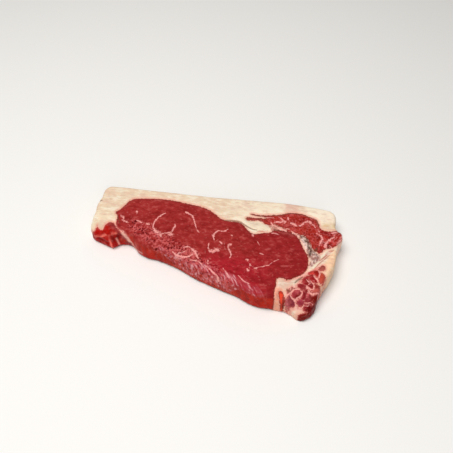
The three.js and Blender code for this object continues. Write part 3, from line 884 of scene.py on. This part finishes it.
# %% Where the fat is a web of threads
beside_rib = ramp(x, -84, -80) * ramp(x, -60, -66) * ramp(y, 7, 4)
webbed = 0.2 * beside_rib + 0.8 * in_silverskin + 0.3 * in_laced + 0.5 * in_flecked
under_the_tail = np.clip(ramp(y, -47.5, -45) + ramp(x, 80, 83), 0, 1)
webbed = np.clip(webbed - 0.4 * on_under, 0, 1) * under_the_tail
print("webbed points:", (webbed > 0.5).sum())

# %% [markdown]
# ## One mesh, with its maps
# The points, the faces and the maps go into one mesh. Blender could unwrap it by itself, into many
# odd islands. Here the pieces of the sheet are laid out one by one, at about four texels to the
# millimetre: the top face, the underside at fewer, and a strip for each side of the flank.

# %% Faces and unwrapping
SHEET = 1024
MARGIN = 10
TOP_TEXELS = 4.5
UNDER_TEXELS = 2.6
STRIP_TEXELS = 4.0
SIDE_TEXELS = 3.6
EDGE_STEPS = 200

faces = []
corners_uv = []


def add_faces(indices, places):
    """Adds faces, and the place of each of their corners on the texture sheet, in texels."""
    faces.extend(indices.tolist())
    corners_uv.append(np.asarray(places, float).reshape(-1, 2) / SHEET)


def grid_faces(rows, cols, first, flipped):
    """The four-cornered faces of a grid of points."""
    index = first + np.arange(rows * cols).reshape(rows, cols)
    quads = np.stack([index[:-1, :-1], index[:-1, 1:], index[1:, 1:], index[1:, :-1]], axis=-1)
    quads = quads.reshape(-1, 4)
    return quads[:, ::-1] if flipped else quads


print("texture sheet:", SHEET, "texels wide")

# %% The top and the underside
low, high = plan.min(0), plan.max(0)
size_x, size_y = high - low
top_faces = grid_faces(ACROSS + 1, ALONG + 1, 0, flipped=False)
top_floor = SHEET - MARGIN - TOP_TEXELS * size_y
add_faces(top_faces, (plan[top_faces] - low) * TOP_TEXELS + (MARGIN, top_floor))

under_first = len(plan) - len(under)
under_faces = grid_faces(UNDER_ACROSS + 1, UNDER_ALONG + 1, under_first, flipped=True)
under_places = (plan[under_faces] - low) * UNDER_TEXELS
add_faces(under_faces, under_places + (MARGIN, MARGIN))
print("faces of the top and the underside:", len(top_faces), len(under_faces))

# %% The flank, in four strips
# Each side of the flank gets a strip: where it starts on the sheet, and its texels per mm.
strip_height = STRIP_TEXELS * np.linalg.norm(np.diff(FLANK, axis=0), axis=1).sum()
under_top = MARGIN + UNDER_TEXELS * size_y + MARGIN
right_of_under = MARGIN + UNDER_TEXELS * size_x + MARGIN
STRIPS = [
    (MARGIN, under_top + strip_height + MARGIN, STRIP_TEXELS),
    (right_of_under, MARGIN, SIDE_TEXELS),
    (MARGIN, under_top, STRIP_TEXELS),
    (right_of_under, MARGIN + strip_height + MARGIN, STRIP_TEXELS),
]
loops = [border(ACROSS + 1, ALONG + 1)]
loops += [len(top) + k * len(rings[0]) + np.arange(len(rings[0])) for k in range(len(rings))]
first = 0
for cells, edge, (left_edge, floor, texels) in zip(FINE_CELLS, EDGES, STRIPS):
    current = (first + np.arange(cells)) % len(rings[0])
    following = (current + 1) % len(rings[0])
    length = np.linalg.norm(np.diff(smooth_line(edge, EDGE_STEPS), axis=0), axis=1).sum()
    u = left_edge + texels * length * np.arange(cells + 1) / cells
    v = floor + strip_height * (1 - np.arange(len(loops)) / (len(loops) - 1))
    for k, (above, below) in enumerate(zip(loops, loops[1:])):
        quads = np.stack(
            [above[current], below[current], below[following], above[following]], axis=-1
        )
        places = np.empty((cells, 4, 2))
        places[:, (0, 1), 0] = u[:-1, None]
        places[:, (2, 3), 0] = u[1:, None]
        places[:, (0, 3), 1] = v[k]
        places[:, (1, 2), 1] = v[k + 1]
        add_faces(quads, places)
    first += cells
print("faces so far:", len(faces))

# %% The rim of the underside
# The lowest ring has twice as many points as the rim of the underside.
fine_loop = loops[-1]
rim_loop = under_first + border(UNDER_ACROSS + 1, UNDER_ALONG + 1)
next_rim = np.roll(rim_loop, -1)
start, half, end = fine_loop[0::2], fine_loop[1::2], np.roll(fine_loop[0::2], -1)
for triangle in ((start, rim_loop, half), (half, rim_loop, next_rim), (half, next_rim, end)):
    triangle = np.stack(triangle, axis=-1)
    add_faces(triangle, (plan[triangle] - low) * UNDER_TEXELS + (MARGIN, MARGIN))
print("faces:", len(faces))

# %% The mesh object
MM = 0.001
points = np.column_stack([plan - (low + high) / 2, height]) * MM
print("moved to the middle of the footprint by", ((low + high) / 2).round(2), "mm")
mesh = bpy.data.meshes.new("sirloin_steak")
mesh.from_pydata(points.tolist(), [], faces)
mesh.polygons.foreach_set("use_smooth", np.ones(len(faces), bool))
unwrapping = mesh.uv_layers.new(name="OFBake")
unwrapping.data.foreach_set("uv", np.vstack(corners_uv).astype(np.float32).ravel())
print("mesh:", len(mesh.vertices), "points,", len(mesh.polygons), "faces")

# %% The maps, stored for the material
# The third number of an offset grows where its lines shall fade out: veins low on the flank, creases
# from just below the rim.
VEINS_END_Z, CREASES_END_Z = 15, 19.5
VEILED_DOWN = 11
ones = np.ones((len(plan), 1))
zeros = np.zeros((len(plan), 1))
lifted = (np.maximum(VEINS_END_Z - z, 0) * on_flank)[:, None]
high_on_front = ramp(z + VEILED_DOWN * reach_down, 12, 19)
number_maps = {
    "lean_mm": lean,
    "webbed": webbed,
    "speckled": np.max([speckled * ramp(eye, -1, 1), 0.5 * ramp(cap, 0, 2)], axis=0) * high_on_front,
    "veil_and_sheen": veil_and_sheen * high_on_front * ramp(eye, -1, 1),
    "moist": np.maximum(in_laced, ramp(x, -50, -56) * ramp(y, 13, 9)),
}
colour_maps = {
    "lean_colour": np.hstack([lean_colour, ones]),
    "fat_colour": np.hstack([fat_colour, ones]),
}
offset_maps = {
    "vein_offset": np.hstack([vein, lifted]),
    "lace_offset": np.hstack([lace, zeros]),
    "crease_shade_offset": np.hstack([crease, lifted + (z < CREASES_END_Z)[:, None]]),
}
for kind, slot, maps in (
    ("FLOAT", "value", number_maps),
    ("FLOAT_COLOR", "color", colour_maps),
    ("FLOAT_VECTOR", "vector", offset_maps),
):
    for name, values in maps.items():
        attribute = mesh.attributes.new(name, kind, "POINT")
        attribute.data.foreach_set(slot, np.ascontiguousarray(values, np.float32).ravel())
mesh.validate()
print("maps:", ", ".join([*number_maps, *colour_maps, *offset_maps]))

# %% The steak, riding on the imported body
steak = bpy.data.objects.new("sirloin_steak", mesh)
bpy.context.scene.collection.objects.link(steak)
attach(steak, "root")
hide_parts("steak")
print("triangles:", sum(len(face) - 2 for face in faces))

# %% [markdown]
# ## The material: raw beef
# The real thing is wet protein and waxy fat, cut with a knife. Its film of moisture is broken up by
# the grain, so it hardly mirrors anything, light enters a little way and comes back redder, and the
# ends of the muscle bundles show as a grain of about two millimetres. One material covers the whole
# slice, because its tissues run into each other; the maps say how much of each shows at a point.

# %% A node with its settings and links
beef = bpy.data.materials.new("raw_beef")
beef.use_nodes = True
nodes, links = beef.node_tree.nodes, beef.node_tree.links
nodes.clear()


def add_node(kind, settings, inputs, output=None):
    """Adds a node with its settings, and its inputs as values or links; gives one output."""
    node = nodes.new(kind)
    for name, value in settings.items():
        setattr(node, name, value)
    for name, value in inputs.items():
        if isinstance(value, bpy.types.NodeSocket):
            links.new(value, node.inputs[name])
        else:
            node.inputs[name].default_value = value
    if output:
        return node.outputs[output]
    return next((o for o in node.outputs if not o.is_unavailable), None)


MATH, MIX, RANGE, VECTOR = (
    "ShaderNodeMath", "ShaderNodeMix", "ShaderNodeMapRange", "ShaderNodeVectorMath"
)
NOISE, VORONOI, MAP = "ShaderNodeTexNoise", "ShaderNodeTexVoronoi", "ShaderNodeAttribute"
SOFT = {"interpolation_type": "SMOOTHSTEP"}
COLOUR = {"data_type": "RGBA"}
TIMES, TIMES_PLUS = {"operation": "MULTIPLY"}, {"operation": "MULTIPLY_ADD"}
# The sockets of a Mix node that mixes colours.
AMOUNT, UNDER, OVER = 0, 6, 7


def opaque(hex_colour):
    """A linear colour with full alpha, as a socket takes it."""
    return (*linear(hex_colour), 1.0)


print("linear red of fresh beef:", round(opaque("#9F2C2A")[0], 3))

# %% Where a point is, in millimetres, and what the maps say there
place = add_node("ShaderNodeTexCoord", {}, {}, "Object")
place = add_node(VECTOR, {"operation": "SCALE"}, {0: place, "Scale": 1 / MM})
here = {}
for output, maps in (("Fac", number_maps), ("Color", colour_maps), ("Vector", offset_maps)):
    for name in maps:
        here[name] = add_node(MAP, {"attribute_name": name}, {}, output)
print("maps read:", len(here))

# %% [markdown]
# ### Patterns, by their real size
# Every pattern below is one noise or cell texture. Its size from bump to bump is given in
# millimetres along each axis, so a long first number draws streaks that run along the slice. The
# bundles of fibres run down through the slice, so most patterns are stretched along Z.

# %% Sizes of the patterns, in mm
SIZES = {
    # lean: dense streaks along the slice, milky flecks and broad blotches
    "streaks": (4.6, 2.7, 9.0),
    "flecks": (2.8, 1.5, 5.0),
    "blotches": (13.0, 9.0, 12.0),
    # all over: a grain finer than a bundle, and the breaks in thin lines
    "grain": (1.1, 1.1, 1.8),
    "breaks": (2.6, 2.2, 5.0),
    # fat: its fibres, its soft clouds and the web of silverskin
    "fat fibres": (5.0, 1.3, 5.0),
    "fat clouds": (10.0, 4.5, 9.0),
    "web": (1.7, 2.7, 3.2),
    # the milky strands of the veil, which paint its sheen and glints
    "strands": (9.0, 1.5, 4.0),
}
# The strands of the veil run askew, turned by so many radians.
STRAND_TURN = -0.95
pattern = {}
for name, sizes in SIZES.items():
    turn = STRAND_TURN if name == "strands" else 0.0
    stretched = add_node("ShaderNodeMapping", {"vector_type": "TEXTURE"},
                         {"Vector": place, "Scale": sizes, "Rotation": (0.0, 0.0, turn)})
    pattern[name] = add_node(NOISE, {}, {"Vector": stretched, "Scale": 1.0, "Detail": 2.5})
print("patterns:", ", ".join(pattern))

# %% Muscle bundles: rounded cells on the cut, upright threads on the flank
# The cells are warped by a noise, so that their edges wind. Each has a random number of its own, and
# they are stretched upwards, because the bundles run down through the slice. What lies close to the
# edge of a cell is the bundle's skin, broken here and there, and the rest is its core.
BUNDLE_MM = 1.9
WARP_MM = 5.0
WARP_SIZE_MM = 3.4
UPRIGHT = (0.85, 1.0, 0.3)
warp = add_node(NOISE, {}, {"Vector": place, "Scale": 1 / WARP_SIZE_MM, "Detail": 2.0}, "Color")
warp = add_node(VECTOR, TIMES_PLUS, {0: warp, 1: (WARP_MM,) * 3, 2: (-WARP_MM / 2,) * 3})
bundle_place = add_node(VECTOR, {"operation": "ADD"}, {0: place, 1: warp})
bundle_place = add_node(VECTOR, TIMES, {0: bundle_place, 1: UPRIGHT})
cell = {"Vector": bundle_place, "Scale": 1 / BUNDLE_MM}
bundle_edge = add_node(VORONOI, {"feature": "DISTANCE_TO_EDGE"}, cell, "Distance")
bundle_number = add_node(VORONOI, {"feature": "F1"}, cell, "Color")
bundle_number = add_node("ShaderNodeSeparateColor", {}, {"Color": bundle_number}, "Red")
bundle_skin = add_node(RANGE, SOFT, {"Value": bundle_edge, "From Min": 0.24, "From Max": 0.06})
unbroken = add_node(RANGE, SOFT, {"Value": pattern["breaks"], "From Min": 0.42, "From Max": 0.56})
bundle_skin = add_node(MATH, TIMES, {0: bundle_skin, 1: unbroken})
bundle_core = add_node(RANGE, SOFT, {"Value": bundle_edge, "From Min": 0.1, "From Max": 0.26})
dark_bundle = add_node(RANGE, SOFT, {"Value": bundle_number, "From Min": 0.3, "From Max": 0.6})
bundle_core = add_node(MATH, TIMES, {0: bundle_core, 1: dark_bundle})
print("a bundle is", BUNDLE_MM, "mm across, and its thread", round(BUNDLE_MM / UPRIGHT[2], 1), "mm long")

# %% [markdown]
# ### Lean
# Lean is bundles of fibres, cut across. It is darker where it is dense and paler where the skins of
# the bundles show, a milky veil with painted sheen and painted glints clings to its front, veins of fat
# run through it, and painted shade darkens its edge. Each of these is a thin layer of colour over the
# ones before, as strong as a pattern or a map says.

# %% Lean: dense dark streaks and milky ones
DENSE, MILKY = opaque("#74100F"), opaque("#C8655E")


def tint(under, colour, mask, start, end, most):
    """Lays a colour over another where a mask runs from `start` to `end`, `most` at full strength."""
    amount = add_node(RANGE, SOFT, {"Value": mask, "From Min": start, "From Max": end, "To Max": most})
    return add_node(MIX, COLOUR, {AMOUNT: amount, UNDER: under, OVER: colour})


meat = tint(here["lean_colour"], DENSE, pattern["streaks"], 0.52, 0.34, 0.4)
meat = tint(meat, MILKY, pattern["streaks"], 0.54, 0.72, 0.35)
meat = tint(meat, DENSE, pattern["blotches"], 0.5, 0.36, 0.3)
meat = tint(meat, MILKY, pattern["flecks"], 0.6, 0.72, 0.45)
print("nodes with the streaks:", len(nodes))

# %% Dark pits and a pale winding net where the lean is speckled
# A trace of the net shows everywhere.
PIT, BUNDLE_SKIN = opaque("#52060E"), opaque("#DE6F6E")
NET_EVERYWHERE = 0.1
pits = add_node(MATH, TIMES, {0: bundle_core, 1: here["speckled"]})
meat = tint(meat, PIT, pits, 0.0, 1.0, 0.78)
net_share = add_node(RANGE, {}, {"Value": here["speckled"], "To Min": NET_EVERYWHERE})
net = add_node(MATH, TIMES, {0: bundle_skin, 1: net_share})
meat = tint(meat, BUNDLE_SKIN, net, 0.0, 1.0, 0.64)
print("nodes with the net:", len(nodes))

# %% Veil: the thin milky skin on the front of the eye with painted sheen, and its threads, painted glints
VEIL_AND_SHEEN_TINT, STRAND_GLINT = opaque("#BA4E58"), opaque("#EDAFB0")
veil_sheen_strands = add_node(MATH, TIMES, {0: pattern["strands"], 1: here["veil_and_sheen"]})
meat = tint(meat, VEIL_AND_SHEEN_TINT, veil_sheen_strands, 0.34, 0.56, 0.55)
meat = tint(meat, STRAND_GLINT, veil_sheen_strands, 0.53, 0.66, 0.6)
print("nodes with the veil:", len(nodes))

# %% How far a line is, made ragged
# The distance is counted in half widths. Two patterns added to it, the fine grain and the coarser
# breaks, fray the line and let it fade here and there.
def ragged_gap(offset, grain, breaks):
    """The distance to the nearest line, frayed by `grain` and broken up by `breaks`."""
    frayed = add_node(VECTOR, {"operation": "LENGTH"}, {0: offset}, "Value")
    for name, amount in (("grain", grain), ("breaks", breaks)):
        if amount:
            frayed = add_node(MATH, TIMES_PLUS, {0: pattern[name], 1: amount, 2: frayed})
    return frayed


# Pale fat of the veins, and painted glints along the threads of the veil.
VEIN_FAT_AND_GLINT = opaque("#F6A7A0")
vein_gap = ragged_gap(here["vein_offset"], 3.8, 2.8)
meat = tint(meat, VEIN_FAT_AND_GLINT, vein_gap, 4.8, 3.4, 0.9)
print("nodes with the veins:", len(nodes))

# %% The rim of the lean: a brown painted shade along its edge, pink in the laced tail
LEAN_EDGE_SHADE, MOIST_RIM = opaque("#6E3328"), opaque("#C4605C")
rim_shade_and_pink = tint(LEAN_EDGE_SHADE, MOIST_RIM, here["moist"], 0.0, 0.5, 1.0)
meat = tint(meat, rim_shade_and_pink, here["lean_mm"], 1.4, 0.0, 0.6)
print("nodes with the rim:", len(nodes))

# %% [markdown]
# ### Fat and web
# Beef fat is waxy and almost smooth, with faint fibres along the slice and a blush of pink where it
# touches lean. Silverskin and the laced bed of the tail are webs: pale threads over darker gaps. A
# painted picture of either would blur up close, and noise of the right size in mm does not.

# %% Fat, with its blush beside the lean
CLOUD, IVORY, FIBRE, BLUSH = opaque("#D8B09C"), opaque("#F7EFDA"), opaque("#C9A08A"), opaque("#E9A08C")
bed = tint(here["fat_colour"], CLOUD, pattern["fat clouds"], 0.5, 0.7, 0.5)
bed = tint(bed, IVORY, pattern["fat clouds"], 0.48, 0.3, 0.5)
bed = tint(bed, FIBRE, pattern["fat fibres"], 0.54, 0.74, 0.45)
bed = tint(bed, IVORY, pattern["fat fibres"], 0.46, 0.28, 0.5)
bed = tint(bed, BLUSH, here["lean_mm"], -2.4, 0.0, 0.75)
print("nodes with the fat:", len(nodes))

# %% Web
WEB_THREAD = opaque("#F7D3C6")
GAP_SHADE = (0.5, 0.3, 0.3)
web_gap = add_node(VECTOR, TIMES, {0: here["fat_colour"], 1: GAP_SHADE})
web_light = add_node(RANGE, SOFT, {"Value": pattern["web"], "From Min": 0.42, "From Max": 0.56})
web = add_node(MIX, COLOUR, {AMOUNT: web_light, UNDER: web_gap, OVER: here["fat_colour"]})
web = tint(web, WEB_THREAD, pattern["web"], 0.54, 0.66, 0.8)
bed = add_node(MIX, COLOUR, {AMOUNT: here["webbed"], UNDER: bed, OVER: web})
print("nodes with the web:", len(nodes))

# %% [markdown]
# ### Edges and lines over both
# A thin skin divides lean from fat, so they meet in a crisp edge that wanders a little. A painted
# mask would go soft up close. The distance into the lean is known at every point, and a grain added
# to it makes the edge wander.

# %% Lean over its bed
# The edge wanders by so many mm over plain fat, and by more where the bed is a web.
WANDER_ON_FAT, WANDER_ON_WEB = 2.4, 7.0
wobble = add_node(MATH, {"operation": "SUBTRACT"}, {0: pattern["grain"], 1: 0.5})
wander = add_node(RANGE, {}, {"Value": here["webbed"], "To Min": WANDER_ON_FAT, "To Max": WANDER_ON_WEB})
lean_edge = add_node(MATH, TIMES_PLUS, {0: wobble, 1: wander, 2: here["lean_mm"]})
lean_here = add_node(RANGE, SOFT, {"Value": lean_edge, "From Min": -0.25, "From Max": 0.3})
tissue = add_node(MIX, COLOUR, {AMOUNT: lean_here, UNDER: bed, OVER: meat})
print("nodes with the lean on its bed:", len(nodes))

# %% Lace, and painted shade in the creases, over both
LACE_THREAD, CREASE_SHADE = opaque("#FAACA2"), opaque("#74422F")
lace_gap = ragged_gap(here["lace_offset"], 2.0, 1.6)
tissue = tint(tissue, LACE_THREAD, lace_gap, 3.1, 2.0, 0.85)
crease_shade_gap = ragged_gap(here["crease_shade_offset"], 0.8, 0)
tissue = tint(tissue, CREASE_SHADE, crease_shade_gap, 1.8, 0.7, 0.68)
print("nodes with lace and creases:", len(nodes))

# %% [markdown]
# ### Surface
# Water and protein have an index of refraction near 1.38, and a cut face is moist but not mirror
# smooth. Lean is wetter than fat, so it is a little glossier. At this distance each glint is smaller
# than a point of the picture, so the level of the mirrored light is turned well down: at its usual
# level the large lights would lay a grey haze over the dark lean. The relief that is finer than the
# mesh comes as bump: bundles a tenth of a millimetre deep, streaks and fibres twice that.

# %% Roughness and bump
LEAN_ROUGHNESS, FAT_ROUGHNESS, UNEVEN_ROUGHNESS = 0.3, 0.4, 0.2
BUNDLE_DEPTH, STREAK_DEPTH, GRAIN_DEPTH, FIBRE_DEPTH = 0.08, 0.2, 0.08, 0.16
roughness = add_node(RANGE, {}, {"Value": lean_here, "To Min": FAT_ROUGHNESS, "To Max": LEAN_ROUGHNESS})
roughness = add_node(MATH, TIMES_PLUS, {0: wobble, 1: UNEVEN_ROUGHNESS, 2: roughness})
lean_relief = add_node(MATH, TIMES, {0: bundle_skin, 1: -BUNDLE_DEPTH})
lean_relief = add_node(MATH, TIMES_PLUS, {0: pattern["streaks"], 1: STREAK_DEPTH, 2: lean_relief})
fat_relief = add_node(MATH, TIMES, {0: pattern["fat fibres"], 1: FIBRE_DEPTH})
relief = add_node(MIX, {"data_type": "FLOAT"}, {0: lean_here, 2: fat_relief, 3: lean_relief})
relief = add_node(MATH, TIMES_PLUS, {0: pattern["grain"], 1: GRAIN_DEPTH, 2: relief})
bump = add_node("ShaderNodeBump", {}, {"Height": relief, "Distance": MM, "Strength": 1.0})
print("nodes with the surface:", len(nodes))

# %% Raw beef
MOIST_IOR = 1.38
MIRROR_LEVEL = 0.05
LIGHT_ENTERS = 0.06
ENTERING_MM = 1.2
RED_GOES_FURTHER = (1.0, 0.35, 0.2)
surface = add_node("ShaderNodeBsdfPrincipled", {}, {
    "Base Color": tissue,
    "Roughness": roughness,
    "Normal": bump,
    "IOR": MOIST_IOR,
    "Specular IOR Level": MIRROR_LEVEL,
    "Subsurface Weight": LIGHT_ENTERS,
    "Subsurface Radius": RED_GOES_FURTHER,
    "Subsurface Scale": ENTERING_MM * MM,
})
add_node("ShaderNodeOutputMaterial", {}, {"Surface": surface})
mesh.materials.append(beef)
print("nodes in raw_beef:", len(nodes))

# %% [markdown]
# ## Studio
# A pale floor and two large soft lights, so that the shadows are faint and nothing glares. The camera
# looks down at the slice from in front, at about 53 degrees.

# %% Floor
# It lies a hair below the steak, so that the two share no plane.
scene = bpy.context.scene
scene.view_settings.view_transform = "Standard"
FLOOR_SIZE = 6.0
FLOOR_GAP = 0.0002
FLOOR_ROUGHNESS = 0.9
half = FLOOR_SIZE / 2
floor_mesh = bpy.data.meshes.new("floor")
floor_mesh.from_pydata([(-half, -half, 0), (half, -half, 0), (half, half, 0), (-half, half, 0)], [],
                       [(0, 1, 2, 3)])
floor = bpy.data.objects.new("floor", floor_mesh)
scene.collection.objects.link(floor)
floor.location.z = -FLOOR_GAP
floor_paint = bpy.data.materials.new("pale_floor")
floor_paint.use_nodes = True
floor_shader = floor_paint.node_tree.nodes["Principled BSDF"]
floor_shader.inputs["Base Color"].default_value = opaque("#F4F2EE")
floor_shader.inputs["Roughness"].default_value = FLOOR_ROUGHNESS
floor_mesh.materials.append(floor_paint)
print("floor:", FLOOR_SIZE, "m wide")

# %% Lights
# Each soft light has its name, its place in metres and its power in watts, and looks at the steak.
LIGHTS = [("overhead", (-0.2, -0.15, 1.1), 10.4), ("front_fill", (0.3, -0.9, 0.7), 1.8)]
LIGHT_WIDTH = 0.6
SKY_STRENGTH = 0.24
world = bpy.data.worlds.new("studio")
world.use_nodes = True
sky = world.node_tree.nodes["Background"]
sky.inputs["Color"].default_value = opaque("#FFFDFA")
sky.inputs["Strength"].default_value = SKY_STRENGTH
scene.world = world
for name, position, power in LIGHTS:
    lamp = bpy.data.lights.new(name, "AREA")
    lamp.size = LIGHT_WIDTH
    lamp.energy = power
    holder = bpy.data.objects.new(name, lamp)
    scene.collection.objects.link(holder)
    holder.location = position
    holder.rotation_euler = (-Vector(position)).to_track_quat("-Z", "Y").to_euler()
print("soft lights:", len(LIGHTS))

# %% Camera
# Lengths are in metres. The lens follows from a focal length counted in points of the picture.
CAMERA_AZIMUTH, CAMERA_ELEVATION = np.radians(8.3), np.radians(52.81)
CAMERA_AIM = Vector((0.00709, 0.0333, 0.0))
CAMERA_DISTANCE = 0.46215
FOCAL_PIXELS, PICTURE_PIXELS = 513.5, 453
SENSOR_WIDTH = 36.0
back = Vector((
    np.sin(CAMERA_AZIMUTH) * np.cos(CAMERA_ELEVATION),
    -np.cos(CAMERA_AZIMUTH) * np.cos(CAMERA_ELEVATION),
    np.sin(CAMERA_ELEVATION),
))
camera_data = bpy.data.cameras.new("camera")
camera_data.sensor_width = SENSOR_WIDTH
camera_data.lens = SENSOR_WIDTH * FOCAL_PIXELS / PICTURE_PIXELS
camera = bpy.data.objects.new("camera", camera_data)
scene.collection.objects.link(camera)
camera.location = CAMERA_AIM + CAMERA_DISTANCE * back
camera.rotation_euler = back.to_track_quat("Z", "Y").to_euler()
scene.camera = camera
print("camera at", [round(v, 4) for v in camera.location], "lens", round(camera_data.lens, 2))
